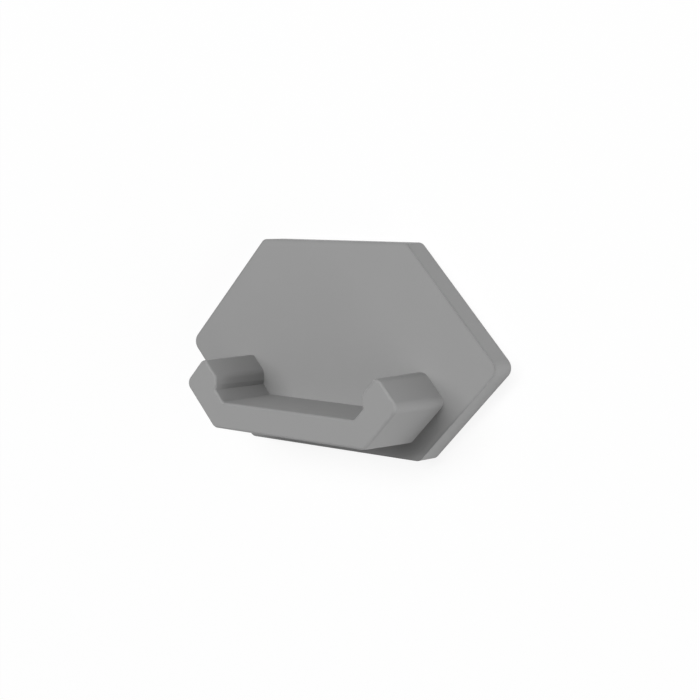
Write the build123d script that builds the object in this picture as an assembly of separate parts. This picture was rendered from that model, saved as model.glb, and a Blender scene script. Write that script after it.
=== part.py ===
"""End cap for a small six-sided aluminium light profile, moulded in one piece.

A thin cover plate closes the cut end of the profile. A C-shaped plug stands on the
plate's inner face and presses into the hollow of the profile. The channel through
the plug leaves the way free for the light strip and its leads.

Millimetres. The plate lies flat with its outer face on Z = 0 and the plug points up,
along +Z. +Y points to the side of the profile that carries the diffuser. The outer
face is centred on the origin, and the cap is the same on both sides of X = 0.
"""
from build123d import *
import os
from math import radians, tan

# All the slanted sides, of the plate, the plug and its channel, share one angle
side_slant = 45.0

# Cover plate: a flat hexagon, taller above its widest line than below it
plate_width = 21.0
plate_rise = 5.62
plate_drop = 4.7
plate_thickness = 1.2
plate_corner_round = 0.5
outer_rim_round = 0.05

# Plug, measured at its nose, where it is smallest
plug_depth = 3.25
plug_lip = 0.84
plug_floor_wall = 1.35
plug_point_height = 2.13
plug_draft = 0.8
plug_corner_round = 0.5
plug_point_round = 0.4

# Channel and the hooks beside it, measured at the nose, from the channel's floor upwards
channel_width = 10.1
channel_foot = 0.58
catch_height = 0.26
catch_depth = 0.06
hook_wall_height = 0.42
hook_lead_in = 0.76
hook_tip_flat = 0.29
channel_draft = 2.0
channel_corner_round = 0.25
hook_round = 0.4
hook_tip_round = 0.45
channel_overshoot = 1.0

# Small round that all the plug's leading edges share
leading_edge_round = 0.12

# Heights in the plate's plane, from the bottom upwards
widest_line = (plate_drop - plate_rise) / 2
plate_bottom = widest_line - plate_drop
plug_bottom = plate_bottom + plug_lip
plug_point = plug_bottom + plug_point_height
channel_floor = plug_bottom + plug_floor_wall
catch_foot = channel_floor + channel_foot
wall_foot = catch_foot + catch_height
wall_top = wall_foot + hook_wall_height
hook_tip = wall_top + hook_lead_in

# How far a slanted side moves in for each millimetre that it rises
slant = 1 / tan(radians(side_slant))

# Distances from the middle of the cap, from the channel outwards
channel_wall_x = channel_width / 2
catch_x = channel_wall_x + catch_depth
hook_mouth_x = channel_wall_x + hook_lead_in * slant
hook_tip_x = hook_mouth_x + hook_tip_flat
plug_point_x = hook_tip_x + (hook_tip - plug_point) * slant


def mirrored_face(right_side):
    """A face from its right-hand outline, bottom to top, and the mirror image of it."""
    left_side = [(-x, y) for x, y in reversed(right_side)]
    return make_face(Polyline(*right_side, *left_side, close=True))


def drafted_prism(nose, draft):
    """A body from the plate's inner face up to the nose, growing upwards if draft is positive."""
    growth = plug_depth * tan(radians(draft))
    root = offset(nose, -growth, kind=Kind.INTERSECTION)
    nose_level = plate_thickness + plug_depth
    return loft([Pos(Z=plate_thickness) * root, Pos(Z=nose_level) * nose], ruled=True)


def long_edges(solid, level):
    """The edges that run with the plug at one level, counted from the bottom upwards."""
    edges = solid.edges().filter_by(lambda edge: abs(edge.tangent_at(0.5).Z) > 0.5)
    return edges.group_by(Axis.Y)[level]


def cover_plate():
    half_width = plate_width / 2
    outline = mirrored_face(
        [
            (half_width - plate_drop * slant, plate_bottom),
            (half_width, widest_line),
            (half_width - plate_rise * slant, widest_line + plate_rise),
        ]
    )
    outline = fillet(outline.vertices(), plate_corner_round)
    plate = extrude(outline, plate_thickness)
    rim = plate.faces().sort_by(Axis.Z)[0].edges()
    return fillet(rim, outer_rim_round)


def plug_body():
    """The plug before its channel: a flat hexagon that narrows a little towards its nose."""
    nose = mirrored_face(
        [
            (plug_point_x - plug_point_height * slant, plug_bottom),
            (plug_point_x, plug_point),
            (hook_tip_x, hook_tip),
        ]
    )
    body = drafted_prism(nose, -plug_draft)
    body = fillet(long_edges(body, 1), plug_point_round)
    body = fillet(long_edges(body, 0), plug_corner_round)
    return fillet(long_edges(body, -1), hook_tip_round)


def channel():
    """The space between the hooks: a slanted foot, a shallow catch, a wall and a lead-in."""
    nose = mirrored_face(
        [
            (catch_x - channel_foot * slant, channel_floor),
            (catch_x, catch_foot),
            (channel_wall_x, wall_foot),
            (channel_wall_x, wall_top),
            (hook_mouth_x + channel_overshoot * slant, hook_tip + channel_overshoot),
        ]
    )
    space = drafted_prism(nose, channel_draft)
    space = fillet(long_edges(space, 0), channel_corner_round)
    return fillet(long_edges(space, -2), hook_round)


def end_cap():
    cap = cover_plate() + plug_body() - channel()
    leading_edges = cap.faces().sort_by(Axis.Z)[-1].edges()
    return fillet(leading_edges, leading_edge_round)


os.makedirs("parts", exist_ok=True)
cap = end_cap()
cap.label = "end_cap"
export_step(cap, "parts/end_cap.step")
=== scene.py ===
"""Profile end cap: the moulded plastic of the cap, and a plain soft studio around it."""
import math
import bpy
from bpy.props import FloatProperty, FloatVectorProperty, PointerProperty
from mathutils import Euler, Matrix, Vector

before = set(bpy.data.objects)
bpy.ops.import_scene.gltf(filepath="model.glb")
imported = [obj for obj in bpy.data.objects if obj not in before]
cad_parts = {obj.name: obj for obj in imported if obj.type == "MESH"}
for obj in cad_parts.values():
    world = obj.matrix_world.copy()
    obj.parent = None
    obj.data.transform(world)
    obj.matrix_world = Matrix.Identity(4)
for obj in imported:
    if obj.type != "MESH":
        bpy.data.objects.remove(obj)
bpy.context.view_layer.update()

bl_info = {
    "name": "Profile end cap",
    "version": (1, 0, 0),
    "blender": (4, 5, 0),
    "location": "View3D > Sidebar > End cap",
    "description": "Finishes a moulded profile end cap and lays out a soft studio around it",
    "category": "Object",
}

MILLIMETRE = 0.001
WHITE = (1.0, 1.0, 1.0, 1.0)
UPWARDS = Vector((0.0, 0.0, 1.0))

# The places of a Mix node's two inputs and of its result, for each kind of value
MIX_SOCKETS = {"FLOAT": (2, 3, 0), "RGBA": (6, 7, 2)}


def distance(name, description, default):
    """A length that the user can change."""
    return FloatProperty(
        name=name,
        description=description,
        subtype="DISTANCE",
        unit="LENGTH",
        precision=6,
        min=0.0,
        default=default,
    )


def share(name, description, default):
    """A number from 0 to 1 that the user can change."""
    return FloatProperty(
        name=name, description=description, subtype="FACTOR", min=0.0, max=1.0, default=default
    )


def colour(name, description, default):
    """A colour that the user can change."""
    return FloatVectorProperty(
        name=name, description=description, subtype="COLOR", min=0.0, max=1.0, default=default
    )


def power(name, description, default):
    """A lamp's power that the user can change."""
    return FloatProperty(
        name=name, description=description, subtype="POWER", unit="POWER", min=0.0, default=default
    )


class PlasticProperties(bpy.types.PropertyGroup):
    """The moulded plastic that the cap is made of."""

    colour: colour("Colour", "Colour of the plastic", (0.275, 0.275, 0.275))
    # Painted shade: the outward edges get a darker colour than the plastic, which dims the light
    # their rounds catch.
    edge_shade_colour: colour("Edge shade colour", "Colour painted on the outward edges as shade", (0.2, 0.2, 0.2))
    colour_spread: share("Colour spread", "How far the colour wanders over the cap", 0.014)
    roughness: share("Roughness", "Roughness of the moulded surface", 0.65)
    roughness_spread: share("Roughness spread", "How far the roughness wanders", 0.12)
    rubbed_roughness: share("Rubbed roughness", "Roughness of the rubbed edges", 0.7)
    cloud_size: distance("Cloud size", "Width of one cloud of the colour", 2.4 * MILLIMETRE)
    grain_size: distance("Grain size", "Width of one grain of the mould", 0.09 * MILLIMETRE)
    grain_depth: distance("Grain depth", "Height of the mould's grain", 0.003 * MILLIMETRE)
    pit_share: share("Pit share", "How strongly the mould's pits show in its grain", 0.6)
    # The edge mask carries both the painted shade on the edges' colour and the rubbed roughness.
    edge_shade_and_rub_width: distance("Edge shade and rub width", "Width of the shaded and rubbed edges", 0.16 * MILLIMETRE)
    edge_shade_and_rub_breaks: share("Edge shade and rub breaks", "How much the edge shade and rubbing come and go along an edge", 0.3)


class StudioProperties(bpy.types.PropertyGroup):
    """The floor, the lights and the camera."""

    floor_colour: colour("Floor colour", "Colour of the floor", (0.9, 0.9, 0.9))
    floor_size: distance("Floor size", "Length of one side of the floor", 1.6)
    floor_glow: share("Floor glow", "How far the camera sees plain white instead of shadow", 0.88)
    room_light: FloatProperty(
        name="Room light",
        description="Strength of the even light from all around",
        min=0.0,
        default=0.03,
    )
    lamp_distance: distance("Lamp distance", "How far from the cap both lamps stand", 0.6)
    key_power: power("Key light", "Power of the wide lamp above the open side of the plug", 3.7)
    fill_power: power("Fill light", "Power of the low lamp at the cap's +X end", 2.3)
    lens: FloatProperty(
        name="Lens",
        description="Focal length of the camera in millimetres",
        min=1.0,
        default=80.4,
    )
    camera_place: FloatVectorProperty(
        name="Camera place",
        description="Where the camera stands",
        subtype="TRANSLATION",
        unit="LENGTH",
        precision=6,
        default=(53.934 * MILLIMETRE, 7.388 * MILLIMETRE, 56.455 * MILLIMETRE),
    )
    camera_turn: FloatVectorProperty(
        name="Camera turn",
        description="How the camera is turned about its own Z, then X, then Y",
        subtype="EULER",
        unit="ROTATION",
        default=(-0.0985, 0.7617, 0.0008),
    )


def link(tree, source, output, target, socket):
    """Joins an output of one node to an input of another."""
    tree.links.new(source.outputs[output], target.inputs[socket])


def new_group(name, inputs, outputs):
    """A shader node group with named sockets, and its two end nodes."""
    group = bpy.data.node_groups.new(name, "ShaderNodeTree")
    for socket_name, kind in inputs:
        group.interface.new_socket(socket_name, in_out="INPUT", socket_type=kind)
    for socket_name, kind in outputs:
        group.interface.new_socket(socket_name, in_out="OUTPUT", socket_type=kind)
    return group, group.nodes.new("NodeGroupInput"), group.nodes.new("NodeGroupOutput")


def math_node(tree, operation, *values):
    """A Math node whose inputs are numbers or (node, output) pairs."""
    node = tree.nodes.new("ShaderNodeMath")
    node.operation = operation
    for index, value in enumerate(values):
        if isinstance(value, tuple):
            link(tree, *value, node, index)
        else:
            node.inputs[index].default_value = value
    return node


def mix_shaders(tree, first, second):
    """A Mix Shader node that goes from one (node, output) pair to another."""
    mix = tree.nodes.new("ShaderNodeMixShader")
    for place, shader in enumerate((first, second), start=1):
        link(tree, *shader, mix, place)
    return mix


def make_mould_grain():
    """The fine even texture that a spark-eroded mould leaves, as a height."""
    group, start, end = new_group(
        "mould_grain",
        [
            ("Vector", "NodeSocketVector"),
            ("Grain Scale", "NodeSocketFloat"),
            ("Pit Share", "NodeSocketFloat"),
        ],
        [("Height", "NodeSocketFloat")],
    )
    fine = group.nodes.new("ShaderNodeTexNoise")
    fine.inputs["Detail"].default_value = 3.0
    fine.inputs["Roughness"].default_value = 0.6
    pits = group.nodes.new("ShaderNodeTexVoronoi")
    pits.feature = "SMOOTH_F1"
    for texture in (fine, pits):
        link(group, start, "Vector", texture, "Vector")
        link(group, start, "Grain Scale", texture, "Scale")
    height = math_node(
        group, "MULTIPLY_ADD", (pits, "Distance"), (start, "Pit Share"), (fine, "Fac")
    )
    link(group, height, "Value", end, "Height")
    return group


def make_clouds():
    """Slow wandering of the colour and roughness over a moulded face, from -1 to 1."""
    group, start, end = new_group(
        "moulding_clouds",
        [("Vector", "NodeSocketVector"), ("Cloud Scale", "NodeSocketFloat")],
        [("Cloud", "NodeSocketFloat")],
    )
    noise = group.nodes.new("ShaderNodeTexNoise")
    noise.inputs["Detail"].default_value = 4.0
    noise.inputs["Roughness"].default_value = 0.55
    noise.inputs["Distortion"].default_value = 0.4
    link(group, start, "Vector", noise, "Vector")
    link(group, start, "Cloud Scale", noise, "Scale")
    spread = group.nodes.new("ShaderNodeMapRange")
    spread.inputs["From Min"].default_value = 0.3
    spread.inputs["From Max"].default_value = 0.7
    spread.inputs["To Min"].default_value = -1.0
    link(group, noise, "Fac", spread, "Value")
    link(group, spread, "Result", end, "Cloud")
    return group


def make_edge_shade_and_rub_mask():
    """A mask of the outward edges, broken up by the clouds, where the colour is painted darker as
    shade and the roughness is rubbed.
    """
    group, start, end = new_group(
        "edge_shade_and_rub_mask",
        [
            ("Width", "NodeSocketFloat"),
            ("Cloud", "NodeSocketFloat"),
            ("Breaks", "NodeSocketFloat"),
        ],
        [("Mask", "NodeSocketFloat")],
    )
    inside = group.nodes.new("ShaderNodeAmbientOcclusion")
    inside.inside = True
    inside.samples = 8
    link(group, start, "Width", inside, "Distance")
    near_edge = math_node(group, "SUBTRACT", 1.0, (inside, "AO"))
    broken = math_node(group, "MULTIPLY_ADD", (start, "Cloud"), (start, "Breaks"), 1.0)
    mask = math_node(group, "MULTIPLY", (near_edge, "Value"), (broken, "Value"))
    mask.use_clamp = True
    link(group, mask, "Value", end, "Mask")
    return group


def place_group(tree, group, **values):
    """Puts a node group into a material and sets its inputs, such as grain_scale for Grain Scale."""
    node = tree.nodes.new("ShaderNodeGroup")
    node.node_tree = group
    for name, value in values.items():
        node.inputs[name.replace("_", " ").title()].default_value = value
    return node


def shade_and_wear_by_mask(tree, kind, plain, edge_value, edge_mask):
    """Goes from the plain value to the edge value where the edge mask is: painted shade in the
    colour, rubbed roughness in the roughness.
    """
    mix = tree.nodes.new("ShaderNodeMix")
    mix.data_type = kind
    first, second, result = MIX_SOCKETS[kind]
    link(tree, *plain, mix, first)
    mix.inputs[second].default_value = edge_value
    link(tree, edge_mask, "Mask", mix, "Factor")
    return mix, result


def make_plastic(look):
    """Grey moulded plastic: clouded colour, outward edges painted darker as shade and rubbed
    rougher, and the mould's fine grain.
    """
    plastic = bpy.data.materials.new("moulded_grey_plastic")
    plastic.use_nodes = True
    tree = plastic.node_tree
    shader = tree.nodes["Principled BSDF"]
    place = tree.nodes.new("ShaderNodeTexCoord")

    grain = place_group(
        tree, make_mould_grain(), grain_scale=1.0 / look.grain_size, pit_share=look.pit_share
    )
    clouds = place_group(tree, make_clouds(), cloud_scale=1.0 / look.cloud_size)
    for pattern in (grain, clouds):
        link(tree, place, "Object", pattern, "Vector")
    edge_mask = place_group(
        tree, make_edge_shade_and_rub_mask(), width=look.edge_shade_and_rub_width, breaks=look.edge_shade_and_rub_breaks
    )
    link(tree, clouds, "Cloud", edge_mask, "Cloud")

    clouded = tree.nodes.new("ShaderNodeHueSaturation")
    clouded.inputs["Color"].default_value = (*look.colour, 1.0)
    lightness = math_node(tree, "MULTIPLY_ADD", (clouds, "Cloud"), look.colour_spread, 1.0)
    link(tree, lightness, "Value", clouded, "Value")
    # Painted shade: the colour turns darker on the outward edges, which dims the light their rounds
    # catch.
    tint = shade_and_wear_by_mask(tree, "RGBA", (clouded, "Color"), (*look.edge_shade_colour, 1.0), edge_mask)
    link(tree, *tint, shader, "Base Color")

    uneven = math_node(
        tree, "MULTIPLY_ADD", (clouds, "Cloud"), look.roughness_spread / 2, look.roughness
    )
    rough = shade_and_wear_by_mask(tree, "FLOAT", (uneven, "Value"), look.rubbed_roughness, edge_mask)
    link(tree, *rough, shader, "Roughness")

    bump = tree.nodes.new("ShaderNodeBump")
    bump.inputs["Distance"].default_value = look.grain_depth
    link(tree, grain, "Height", bump, "Height")
    link(tree, bump, "Normal", shader, "Normal")
    return plastic


class ENDCAP_OT_finish_cap(bpy.types.Operator):
    """Give the cap its moulded plastic"""

    bl_idname = "endcap.finish_cap"
    bl_label = "Finish the cap"

    def execute(self, context):
        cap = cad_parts["end_cap"]
        plastic = make_plastic(context.scene.endcap_plastic)
        for slot in cap.material_slots:
            slot.material = plastic
        return {"FINISHED"}


def look_from(place, target):
    """The placement of a lamp at one point that looks at another."""
    back = (place - target).normalized()
    right = UPWARDS.cross(back).normalized()
    turn = Matrix((right, back.cross(right), back)).transposed().to_4x4()
    return Matrix.Translation(place) @ turn


def add_softbox(context, name, azimuth, elevation, away, width, height, energy):
    """A rectangular soft light that looks at the cap from a direction given in degrees."""
    azimuth = math.radians(azimuth)
    elevation = math.radians(elevation)
    level = math.cos(elevation)
    direction = Vector(
        (level * math.cos(azimuth), level * math.sin(azimuth), math.sin(elevation))
    )
    lamp_data = bpy.data.lights.new(name, "AREA")
    lamp_data.shape = "RECTANGLE"
    lamp_data.size = width
    lamp_data.size_y = height
    lamp_data.energy = energy
    lamp = bpy.data.objects.new(name, lamp_data)
    lamp.matrix_world = look_from(direction * away, Vector())
    lamp.visible_camera = False
    context.collection.objects.link(lamp)


def seen_directly(tree):
    """1 for the rays that show the background itself, in the camera or in a reflection."""
    rays = tree.nodes.new("ShaderNodeLightPath")
    mirrored = math_node(tree, "ADD", (rays, "Is Glossy Ray"), (rays, "Is Transmission Ray"))
    seen = math_node(tree, "ADD", (rays, "Is Camera Ray"), (mirrored, "Value"))
    seen.use_clamp = True
    return seen


def make_floor_paper(studio):
    """Pale matte paper that shows white to the camera and keeps the cap's shadow."""
    paper = bpy.data.materials.new("floor_paper")
    paper.use_nodes = True
    tree = paper.node_tree
    tree.nodes.remove(tree.nodes["Principled BSDF"])
    output = tree.nodes["Material Output"]
    matte = tree.nodes.new("ShaderNodeBsdfDiffuse")
    matte.inputs["Color"].default_value = (*studio.floor_colour, 1.0)
    lit = tree.nodes.new("ShaderNodeBsdfDiffuse")
    lit.inputs["Color"].default_value = WHITE
    glow = tree.nodes.new("ShaderNodeEmission")
    shown = mix_shaders(tree, (lit, "BSDF"), (glow, "Emission"))
    shown.inputs["Fac"].default_value = studio.floor_glow
    either = mix_shaders(tree, (matte, "BSDF"), (shown, "Shader"))
    link(tree, seen_directly(tree), "Value", either, "Fac")
    link(tree, either, "Shader", output, "Surface")
    return paper


def make_room(room_light):
    """Even light from all around, seen by the camera as plain white."""
    world = bpy.data.worlds.new("room")
    world.use_nodes = True
    tree = world.node_tree
    output = tree.nodes["World Output"]
    even = tree.nodes["Background"]
    even.inputs["Color"].default_value = WHITE
    even.inputs["Strength"].default_value = room_light
    white = tree.nodes.new("ShaderNodeBackground")
    white.inputs["Color"].default_value = WHITE
    either = mix_shaders(tree, (even, "Background"), (white, "Background"))
    link(tree, seen_directly(tree), "Value", either, "Fac")
    link(tree, either, "Shader", output, "Surface")
    return world


def add_camera(context, studio):
    """The camera that looks down into the open side of the plug."""
    camera_data = bpy.data.cameras.new("camera")
    camera_data.lens = studio.lens
    camera_data.clip_start = MILLIMETRE
    camera = bpy.data.objects.new("camera", camera_data)
    turn = Euler(studio.camera_turn, "ZXY").to_matrix().to_4x4()
    camera.matrix_world = Matrix.Translation(studio.camera_place) @ turn
    context.collection.objects.link(camera)
    context.scene.camera = camera


class ENDCAP_OT_lay_studio(bpy.types.Operator):
    """Lay the floor and set up the lights and the camera"""

    bl_idname = "endcap.lay_studio"
    bl_label = "Lay out the studio"

    def execute(self, context):
        scene = context.scene
        studio = scene.endcap_studio
        bpy.ops.object.select_all(action="DESELECT")
        bpy.ops.mesh.primitive_plane_add(size=studio.floor_size)
        floor = context.object
        floor.name = "floor"
        floor.data.materials.append(make_floor_paper(studio))

        scene.world = make_room(studio.room_light)
        add_softbox(
            context,
            "key_light",
            azimuth=110.0,
            elevation=68.0,
            away=studio.lamp_distance,
            width=0.68,
            height=0.2,
            energy=studio.key_power,
        )
        add_softbox(
            context,
            "fill_light",
            azimuth=-17.0,
            elevation=12.0,
            away=studio.lamp_distance,
            width=0.56,
            height=0.28,
            energy=studio.fill_power,
        )

        add_camera(context, studio)
        scene.view_settings.view_transform = "Standard"
        return {"FINISHED"}


class ENDCAP_PT_panel(bpy.types.Panel):
    """The steps that make the cap and its studio"""

    bl_idname = "ENDCAP_PT_panel"
    bl_label = "End cap"
    bl_space_type = "VIEW_3D"
    bl_region_type = "UI"
    bl_category = "End cap"

    def draw(self, context):
        for settings, operator in (
            (context.scene.endcap_plastic, ENDCAP_OT_finish_cap),
            (context.scene.endcap_studio, ENDCAP_OT_lay_studio),
        ):
            box = self.layout.box()
            for name in settings.__annotations__:
                box.prop(settings, name)
            box.operator(operator.bl_idname)


CLASSES = (
    PlasticProperties,
    StudioProperties,
    ENDCAP_OT_finish_cap,
    ENDCAP_OT_lay_studio,
    ENDCAP_PT_panel,
)


def register():
    for each in CLASSES:
        bpy.utils.register_class(each)
    bpy.types.Scene.endcap_plastic = PointerProperty(type=PlasticProperties)
    bpy.types.Scene.endcap_studio = PointerProperty(type=StudioProperties)


def unregister():
    del bpy.types.Scene.endcap_studio
    del bpy.types.Scene.endcap_plastic
    for each in reversed(CLASSES):
        bpy.utils.unregister_class(each)


def main():
    register()
    bpy.ops.endcap.finish_cap()
    bpy.ops.endcap.lay_studio()


if __name__ == "__main__":
    main()
